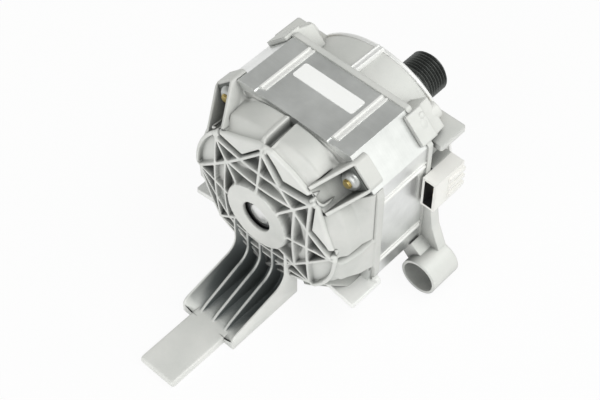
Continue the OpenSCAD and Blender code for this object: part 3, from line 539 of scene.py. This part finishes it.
# One open lug: two walls that climb from the rim to the collar, with a floor that ends at the screw's foot.
# Each row runs up one wall, over it, down to the floor, across, and over the other wall in the same way.
def lugStrip(middle, early, late, look, grid):
    half, wall = lugSet["half"], lugSet["wall"]
    edge, _, _ = rimEdge(np.full((1, 1), float(middle)), look)
    y, start = rowPlaces(np.full((1, 1), float(middle)), early, late, look)
    span, rim, first = flatSpan(look), edge[0, 0], start[0, 0]
    scoop = scoopRadius(y, start, edge, span, look)
    base = np.where(y > look["stackFace"] + tiny, lugSet["collarBase"], scoop)
    base = base * math.cos(math.radians(45 - span))
    rise = lugSet["topRise"]
    top = np.interp(y, [first, first + rise, lugSet["topEnd"]],
                    [rim + lugSet["topStart"], rim + rise, lugSet["reach"]])
    top = np.maximum(top, base + 2 * tiny)
    floor = np.interp(y, lugSet["floorY"], [rim + lugSet["floorStart"], *lugSet["floorOut"]])
    floor = np.where(y > lugSet["foot"] - 5 * tiny, top, np.minimum(floor, top - 2 * tiny))
    up = np.linspace(0, 1, grid["wall"])[None, :]
    over = np.linspace(0, 1, grid["top"] + 2)[None, 1:-1]
    flat = np.linspace(-1, 1, grid["floor"] + 2)[None, 1:-1]
    out = np.concatenate([base + (top - base) * up, top + 0 * over, top + (floor - top) * up,
                          floor + 0 * flat,
                          floor + (top - floor) * up, top + 0 * over, top + (base - top) * up], 1)
    across = np.concatenate([-half + 0 * up, -half + wall * over, -half + wall + 0 * up,
                             (half - wall) * flat,
                             half - wall + 0 * up, half - wall * (1 - over), half + 0 * up], 1)
    corner = ease(*lugSet["collarHalf"], np.abs(across)) ** 2
    corner = corner * ease(*lugSet["collarStart"], y) * ease(*lugSet["collarRise"], out - base)
    return outAcross(out - lugSet["collarRound"] * corner, across, y, middle)


bellGrid = dict(flat=190, wall=14, top=5, floor=34, scoopRows=30)
bellRows = np.array([-29, -28, -27, -26.2, -25.6, -25.2, -25.0, -24.8, -24.6, -24.2, -23.6, -23.0, -22.9,
                     -22.4, -21.9, -21.8, -21.25, -21.2, -21.0, -19, -17, -15.8, -15.6, -15.4, -15.0, -14.6,
                     -14.5])


# Cross-sections of the bell at each Y, run round the shaft, with every corner rounded by a running mean.
def bellSkin(look, grid, late):
    early = np.linspace(0, 1, grid["scoopRows"])[:, None]
    strips = []
    for flat, lug in zip(flats, lugs):
        strips.append(flatStrip(flat, early, late, look, grid))
        strips.append(lugStrip(lug, early, late, look, grid))
    skin = soften(soften(np.concatenate(strips, 1), 1, 3, True), 0, 1, False)
    return np.concatenate([skin, skin[:, :1]], 1)


# The skin, closed by the collars' seats, the end on the stack and the hollow for the winding heads.
def closeBell(skin, look):
    last, inner = skin[-1], look["stackFace"] + 0.2
    angle = np.degrees(np.arctan2(last[:, 2], last[:, 0]))
    diagonal = np.radians(np.round((angle - 45) / 90) * 90 + 45)
    out = np.stack([np.cos(diagonal), 0 * diagonal, np.sin(diagonal)], -1)
    seat = last - np.maximum((last * out).sum(-1) - lugSet["collarSeat"], 0)[:, None] * out
    front = seat + (0, inner - seat[0, 1], 0)
    cavity = [polar(np.full_like(angle, look["cavity"]), angle, y)[None] for y in (inner, look["back"])]
    return np.concatenate([skin, seat[None], front[None], *cavity, skin[:1]])


gridPiece("frontStarFace", [starFace(shieldSet, faceGrid)], "cast_aluminium", replaced="front_end_shield")
bell = closeBell(bellSkin(shieldSet, bellGrid, bellRows), shieldSet)
# The bell's finish paints shade: a darker cast colour and dark hollows.
gridPiece("frontBell", [bell], "bell", replaced="front_end_shield")


# Points along a broken line at even steps, so that a profile can be carried along it.
def evenly(line, count):
    line = np.array(line, float)
    length = np.concatenate([[0], np.cumsum(np.hypot(*np.diff(line, axis=0).T))])
    at = np.linspace(0, length[-1], count)
    return np.stack([np.interp(at, length, line[:, k]) for k in (0, 1)], -1)


# A wall between a top line and a bottom line in the YZ plane, with its thickness across X, rounded on top
# and below, and closed at both ends by a row of no thickness.
def wallGrid(top, bottom, middle, thick, rounding):
    depth = np.linalg.norm(bottom - top, axis=-1)[:, None]
    turn = np.linspace(0, math.pi / 2, 6)
    radius = thick / 2 * rounding
    near = radius * (1 - np.cos(turn))
    half = thick / 2 - radius + radius * np.sin(turn)
    half[0] = 0
    share = np.concatenate([near / depth, 1 - near[::-1] / depth], 1)[..., None]
    x = np.concatenate([half, half[::-1]])[None, :, None] * np.ones((len(top), 1, 1))
    spot = top[:, None, :] + (bottom - top)[:, None, :] * share
    right = np.concatenate([middle + x, spot], -1)
    left = np.concatenate([middle - x, spot], -1)[:, ::-1]
    loop = np.concatenate([right, left], 1)
    flat = loop[[0, -1]] * (0, 1, 1) + (middle, 0, 0)
    return np.concatenate([flat[:1], loop, flat[1:]])


armSet = dict(root=-53.4, top=-20.0, bendStart=-39.0, bend=11.0, end=-99.0, drop=-64.0, under=-69.8,
              tip=5.0, tipCentre=1.4, back=-47.0, backThick=5.0, floorBend=9.0, half=21.2, edge=1.3,
              fillet=9.0, filletCurve=2.3, rows=80, cols=61,
              floorEnd=[(7.0, 0.1), (0.0, -1.6)], ribEnd=[(8.5, 3.0), (3.0, -0.4)],
              rib=2.0, ribRound=0.8, ribSink=(0.5, -0.5), ribs=(-10.0, 0.0, 10.0),
              shell=[(20.8, 0.0), (21.2, 0.04), (21.2, 0.9), (20.2, 1.0)],
              tongueHalf=13.5, tongueStart=-90.0, tongueEnd=-142.0, tongueCorner=(0.10, 0.22),
              tongueTip=[(2.6, 1, 1), (1.2, 0.99, 0.93), (0.4, 0.975, 0.75), (0, 0.96, 0.5), (0, 0.95, 0)])


# The arm: a trough whose closed cross-section is carried down from the boss, round the bend and out to the
# tongue. Its walls curve into the floor, and three ribs run down to nothing at the tongue.
def armGrids(look):
    end, drop, back, rows = look["end"], look["drop"], look["back"], look["rows"]
    bend, tip, under = look["bend"], look["tip"], back + look["backThick"]
    ribEnd, floorEnd = [[(end + y, drop + z) for y, z in look[key]] for key in ("ribEnd", "floorEnd")]
    start = [(look["root"], look["top"]), *arc((look["root"] - bend, look["bendStart"]), bend, 0, -80, 9)]
    top = evenly(start + arc((end + tip, drop + look["tipCentre"]), tip, 110, 180, 6), rows)
    ribTop = evenly(start + ribEnd, rows)
    fillet = arc((back - look["floorBend"], drop + look["floorBend"]), look["floorBend"], 0, -90, 9)
    floor = evenly([(back, look["top"]), *fillet, *floorEnd], rows)
    below = evenly([(under, look["top"]), (under, look["under"]), (end, look["under"])], rows)
    inner = look["half"] - look["edge"]
    x = inner * np.linspace(-1, 1, look["cols"])
    depth = 1 - (1 - np.clip((inner - np.abs(x)) / look["fillet"], 0, 1)) ** look["filletCurve"]
    trough = top[:, None] + (floor - top)[:, None] * depth[None, :, None]
    outer, fall = np.array(look["shell"]).T
    x = np.concatenate([x, outer, -outer[::-1], x[:1]])[None, :, None]
    shell = top[:, None] + (below - top)[:, None] * np.concatenate([fall, fall[::-1]])[None, :, None]
    loop = np.concatenate([trough, shell, trough[:, :1]], 1)
    skin = np.concatenate([x + 0 * loop[..., :1], loop], -1)
    foot = floor + look["ribSink"]
    ribs = [wallGrid(ribTop, foot, middle, look["rib"], look["ribRound"]) for middle in look["ribs"]]
    return [closeEnds(skin), *ribs, tongueGrid(look)]


# The tongue: a rounded flat bar carried along Y, bevelled towards its end and closed by rows of no height.
def tongueGrid(look):
    middle, half = (look["drop"] + look["under"]) / 2, (look["drop"] - look["under"]) / 2
    start, tip = look["tongueStart"] - look["tongueEnd"], look["tongueTip"]
    along, wide, thick = np.array([(start, 1, 0), (start, 1, 1), *tip]).T[..., None]
    y = look["tongueEnd"] + along
    turn = np.radians(np.linspace(0, 360, 49))
    c, s = np.cos(turn), np.sin(turn)
    x, z = [np.sign(way) * np.abs(way) ** power for way, power in zip((c, s), look["tongueCorner"])]
    return np.stack([look["tongueHalf"] * wide * x, y + 0 * turn, middle + half * thick * z], -1)


# The arm's finish paints shade into its channels.
gridPiece("frontArm", armGrids(armSet), "arm", replaced="front_end_shield")

screwSet = dict(middle=46.47, dome=6.3, hole=3.0, foot=-24.0, shoulder=-26.0, face=-29.6, holeDeep=1.0,
                holeFoot=2.4)
hookSet = dict(across=(2.6, 0.4, -2.0, -3.4, -3.8, -3.8, -3.6), size=(0.0, 0.7, 0.9, 0.9, 0.8, 0.7, 0.0),
               y=(-46.3, -46.4, -45.8, -44.2, -41.5, -38.5, -35.5), hand={45: 1, 135: -1},
               floorY=(-47.5, -44.0, -36.0, -30.0), floorOut=(56.7, 56.5, 56.3, 57.8))
screws = [(a * screwSet["middle"], b * screwSet["middle"]) for a in (-1, 1) for b in (-1, 1)]


# A round bar of changing radius along a path of points, closed at both ends by a radius of 0.
def barGrid(path, radius):
    way = np.gradient(path, axis=0)
    way /= np.linalg.norm(way, axis=1)[:, None]
    side = np.cross(way, (0.0, 0.3, 1.0))
    side /= np.linalg.norm(side, axis=1)[:, None]
    up = np.cross(side, way)
    turn = np.radians(np.linspace(0, 360, 15))[None, :, None]
    ring = side[:, None] * np.cos(turn) + up[:, None] * np.sin(turn)
    return path[:, None] + radius[:, None, None] * ring


# A hooked ridge on a lug's floor: a bar on a softened line across the floor and along Y.
def hookGrid(angle, hand, look):
    t, s = np.linspace(0, 1, len(look["y"])), np.linspace(0, 1, 25)
    lines = [np.interp(s, t, look[key]) for key in ("across", "y", "size")]
    across, y, size = [soften(line, 0, 4, False) for line in lines]
    out = np.interp(y, look["floorY"], look["floorOut"])
    return barGrid(outAcross(out, hand * across, y, angle), size)


# Profile of a domed screw boss: a straight foot, a quarter of an ellipse up to the face, and a shallow hole.
def domeProfile(look):
    rise = np.linspace(0, math.pi / 2, 9)
    hole, shoulder, bottom = look["hole"], look["shoulder"], look["face"] + look["holeDeep"]
    dome = np.stack([hole + (look["dome"] - hole) * np.cos(rise),
                     shoulder + (look["face"] - shoulder) * np.sin(rise)], -1)
    return [(0, look["foot"]), (look["dome"], look["foot"]), *dome.tolist(),
            (look["holeFoot"], bottom), (0, bottom)]


hooks = [hookGrid(angle, hand, hookSet) for angle, hand in hookSet["hand"].items()]
# The hooks share the bell's finish and its painted shade.
gridPiece("frontLugs", hooks, "bell", replaced="front_end_shield")
# The domed bosses take a darker finish: painted shade of the pockets round them.
domes = [turnedGrid(domeProfile(screwSet), screw) for screw in screws]
gridPiece("frontLugDomes", domes, "dome", replaced="front_end_shield")

shadePlateSet = dict(outline=[(-7.6, 57.5), (7.6, 57.5), (7.6, 73.0), (-7.6, 73.0)],
                 low=-25.8, high=-25.1, rounding=0.2)


# Painted shade for the back of a lug's pocket: a dark plate square to the shaft behind the domed boss.
def shadePlateGrid(angle, look):
    across, out, y = np.moveaxis(plateGrid(**look), -1, 0)
    return outAcross(out, across, y, angle)


shadePlates = [shadePlateGrid(angle, shadePlateSet) for angle in lugs]
gridPiece("frontLugShadePlates", shadePlates, "pocket", replaced="front_end_shield")

earSet = dict(
    plate=dict(outline=[(35, -39.5), (52, -41.5), (64, -42.5), (65, -41.5), (65, -17.5), (40, -17.5)],
               low=-44.0, high=-40.0, rounding=0.7),
    block=dict(outline=[(61.0, -21.0), (64.7, -21.0), (64.7, -17.8), (61.0, -17.8)],
               low=-42.0, high=-37.2, rounding=0.6))


# An ear's plate or its corner block, at the right side (hand 1) or mirrored to the left (hand -1).
def earGrid(hand, look):
    outline = [(hand * x, y) for x, y in look["outline"]]
    return plateGrid(outline, look["low"], look["high"], look["rounding"])


ears = [earGrid(hand, earSet[key]) for key in ("plate", "block") for hand in (1, -1)]
# The ears' finish paints light over the bell's shade.
gridPiece("frontEars", ears, "ear", replaced="front_end_shield")
print("front shield shaped")

darkSleeveSet = dict(middle=(66.1, 7.0), half=(3.33, 10.43), wall=0.2, front=20.1, rear=30.0)


# A dark sleeve inside the plug socket: a rectangle with walls of one thickness, carried along Y on the
# socket's walls.
def sleeveGrid(look):
    corner = np.array([(1, 1), (-1, 1), (-1, -1), (1, -1), (1, 1)], float)
    front, rear, wall = look["front"], look["rear"], look["wall"]
    inset, y = np.array([(0, front), (wall, front), (wall, rear), (0, rear), (0, front)]).T[..., None]
    x, z = [look["middle"][k] + corner[:, k] * (look["half"][k] - inset) for k in (0, 1)]
    return np.stack([x, y + 0 * x, z], -1)


gridPiece("socketDarkSleeve", [sleeveGrid(darkSleeveSet)], "black_plastic")

# Rear details: round screw collars on the lugs, a bead round the rim, ribs with two ridges, and small dots.
rearSet = dict(
    collar=[(0, 30), (6.3, 30), (6.3, 44.0), (6.0, 44.5), (5.5, 44.7), (5.1, 44.4), (5.0, 41.2), (0, 41.2)],
    rim=[(55.8, 51.0), (57.5, 51.1), (57.95, 51.7), (57.95, 53.0), (57.3, 53.8), (56.2, 54.1), (55.0, 54.1),
         (55.0, 52.5), (55.8, 51.0)],
    ridge=[(-2.6, -3.5), (-2.2, 0.2), (-1.8, 0.7), (-1.4, 0.7), (-0.9, 0.1), (0.9, 0.1), (1.4, 0.7),
           (1.8, 0.7), (2.2, 0.2), (2.6, -3.5), (-2.6, -3.5)],
    ridgeStart=26.2, ridgeEnd=52.0, ridgeLevel=60.0, ridgeFall=0.6, lugFace=75.12,
    plug=[(0, -0.8), (2.4, -0.8), (2.4, 0.0), (2.25, 0.07), (0, 0.07)], plugY=27.5,
    dot=[(0, -0.4), (2.2, -0.4), (2.1, 0.05), (1.6, 0.5), (0.9, 0.75), (0, 0.8)], dotY=29.0, dotSide=5.0,
    dotHand={45: 1, 135: -1, 225: 1, 315: -1})


# A closed cross-section of across and rise, carried along Y on a falling line and turned to its angle round
# the shaft.
def ridgeGrid(angle, look):
    across, rise = np.array(look["ridge"], float).T[:, None]
    share = np.linspace(0, 1, 20)[:, None]
    y = look["ridgeStart"] + (look["ridgeEnd"] - look["ridgeStart"]) * share
    out = look["ridgeLevel"] - look["ridgeFall"] * share + rise
    return closeEnds(outAcross(out, across, y, angle))


# A profile of radius and height turned round the diagonal on a lug's outer face.
def dotGrid(profile, angle, side, y, look):
    r, high = np.array(profile, float).T[..., None]
    turn = np.radians(np.linspace(0, 360, 25))[None, :]
    return outAcross(look["lugFace"] + high, side + r * np.cos(turn), y + r * np.sin(turn), angle)


# The screw collars take the rear look and its painted shade.
gridPiece("rearScrewCollars", [turnedGrid(rearSet["collar"], screw) for screw in screws], "rear", crease=30)
# The bead and the ridges carry the rim look's painted highlight.
gridPiece("rearRimBead", [turnedGrid(rearSet["rim"], count=181)], "rim")
gridPiece("rearRidges", [ridgeGrid(angle, rearSet) for angle in flats], "rim")
dots = [dotGrid(rearSet["plug"], angle, 0, rearSet["plugY"], rearSet) for angle in lugs]
for angle, hand in rearSet["dotHand"].items():
    dots.append(dotGrid(rearSet["dot"], angle, hand * rearSet["dotSide"], rearSet["dotY"], rearSet))
gridPiece("rearLugDots", dots, "dot")
print("rear details set")

labelSet = dict(left=-22.8, right=22.4, front=0.4, rear=12.5, corner=1.6, low=60.0, high=60.3, rounding=0.08)


# The bare label: a thin plate whose outline is four quarter circles joined by straight sides.
def labelGrid(look):
    r = look["corner"]
    left, right, front, rear = look["left"] + r, look["right"] - r, look["front"] + r, look["rear"] - r
    outline = []
    for turn, centre in zip(flats, ((right, rear), (left, rear), (left, front), (right, front))):
        outline += arc(centre, r, turn, turn + 90, 7)
    return plateGrid(outline, look["low"], look["high"], look["rounding"])


gridPiece("bareLabel", [labelGrid(labelSet)], "label_white", replaced="rating_label")

# The shaft as a turned bar, its front end a little inside the boss hole.
shaftSet = dict(profile=[(0, -52.5), (6.3, -52.5), (6.9, -52.2), (7.1, -51.6), (7.1, -49.0), (7.5, -48.6),
                         (7.5, -45), (10, -43), (10, 50), (8.5, 52), (8.5, 76), (7.4, 79.2), (7.4, 103.6),
                         (6.8, 104.26), (0, 104.26)])
gridPiece("shaftBar", [turnedGrid(shaftSet["profile"])], "shaft_steel", replaced="shaft",
          body="rotor")
print("label and shaft set")


# Adds an object that isn't a piece of the motor: the camera, the floor or a lamp.
def addObject(name, data):
    item = bpy.data.objects.new(name, data)
    bpy.context.scene.collection.objects.link(item)
    return item


cameraSet = dict(azimuth=42.6, elevation=51.93, distance=0.8794, target=(-0.0161, -beltMiddle * mm, -0.0498),
                 lens=84.0, sensor=36.0, clip=(0.01, 20.0))


# Camera on a ball round the target: azimuth from -Y towards +X, elevation above the floor.
def addCamera(look):
    data = bpy.data.cameras.new("camera")
    data.sensor_fit, data.sensor_width, data.lens = "HORIZONTAL", look["sensor"], look["lens"]
    data.clip_start, data.clip_end = look["clip"]
    camera = addObject("camera", data)
    a, e = math.radians(look["azimuth"]), math.radians(look["elevation"])
    back = Vector((math.sin(a) * math.cos(e), -math.cos(a) * math.cos(e), math.sin(e)))
    camera.location = Vector(look["target"]) + back * look["distance"]
    camera.rotation_euler = back.to_track_quat("Z", "Y").to_euler()
    bpy.context.scene.camera = camera


addCamera(cameraSet)

floorSet = dict(level=-0.0700, half=9.0, shadow=0.08, paper=(0.86, 0.86, 0.86, 1))


# One large square of paper. The camera and reflections see it white, apart from a share that takes the
# shadow.
def addFloor(look):
    mesh = bpy.data.meshes.new("floor")
    h, level = look["half"], look["level"]
    mesh.from_pydata([(-h, -h, level), (h, -h, level), (h, h, level), (-h, h, level)], [], [(0, 1, 2, 3)])
    material, place = newMaterial("floorPaper")
    path = place.tree.nodes.new("ShaderNodeLightPath")
    rays = [Wire(path.outputs[f"Is {kind} Ray"]) for kind in ("Camera", "Glossy", "Transmission")]
    seen = place.mathNode("MINIMUM", rays[0] + rays[1] + rays[2], 1.0)
    paper = place.make("ShaderNodeBsdfDiffuse", None, {"Color": look["paper"]})
    glow = place.make("ShaderNodeEmission", None, {"Color": (1, 1, 1, 1), "Strength": 1.0})
    place.make("ShaderNodeMixShader", None, {0: seen * (1 - look["shadow"]), 1: paper, 2: glow}).show()
    mesh.materials.append(material)
    addObject("floor", mesh)


addFloor(floorSet)

lightSet = dict(
    target=(0, -0.1, 0),
    lamps=[dict(name="key", place=(0.62, 0.35, 1.42), size=0.9, power=7.4),
           dict(name="fill", place=(0.35, -1.5, 0.6), size=1.2, power=9.0)])


# Square lamps that face one target.
def addLights(look):
    for each in look["lamps"]:
        data = bpy.data.lights.new(each["name"], "AREA")
        data.energy, data.size = each["power"], each["size"]
        lamp = addObject(each["name"], data)
        lamp.location = each["place"]
        away = Vector(each["place"]) - Vector(look["target"])
        lamp.rotation_euler = away.to_track_quat("Z", "Y").to_euler()


addLights(lightSet)

worldSet = dict(low=0.34, right=0.58, rightWay=(0.72, 0.42, 0.55), rightSpan=(0.45, 0.92),
                band=0.5, bandHeight=0.42, bandBase=2.718, colour=(0.985, 1.0, 0.975, 1))


# Studio round the object: a dim room, a bright wall to the right and behind, and a pale band at the horizon
# that fades with the square of the height.
def addWorld(look):
    world = bpy.data.worlds.new("studio")
    world.use_nodes = True
    world.node_tree.nodes.clear()
    way = Wire(world.node_tree.nodes.new("ShaderNodeTexCoord").outputs["Generated"])
    wall = Vector(look["rightWay"]).normalized()
    facing = sum((way.axis(name) * v for name, v in zip("XYZ", wall)), 0.0)
    height = way.axis("Z") / look["bandHeight"]
    horizon = look["bandBase"] ** (height * height * -1.0)
    strength = look["low"] + facing.span(*look["rightSpan"]) * look["right"] + horizon * look["band"]
    soft = way.make("ShaderNodeBackground", None, {"Color": look["colour"], "Strength": strength})
    soft.show("ShaderNodeOutputWorld")
    bpy.context.scene.world = world


addWorld(worldSet)
bpy.context.scene.view_settings.view_transform = "Standard"
print("camera, floor and light set")

bpy.context.view_layer.update()
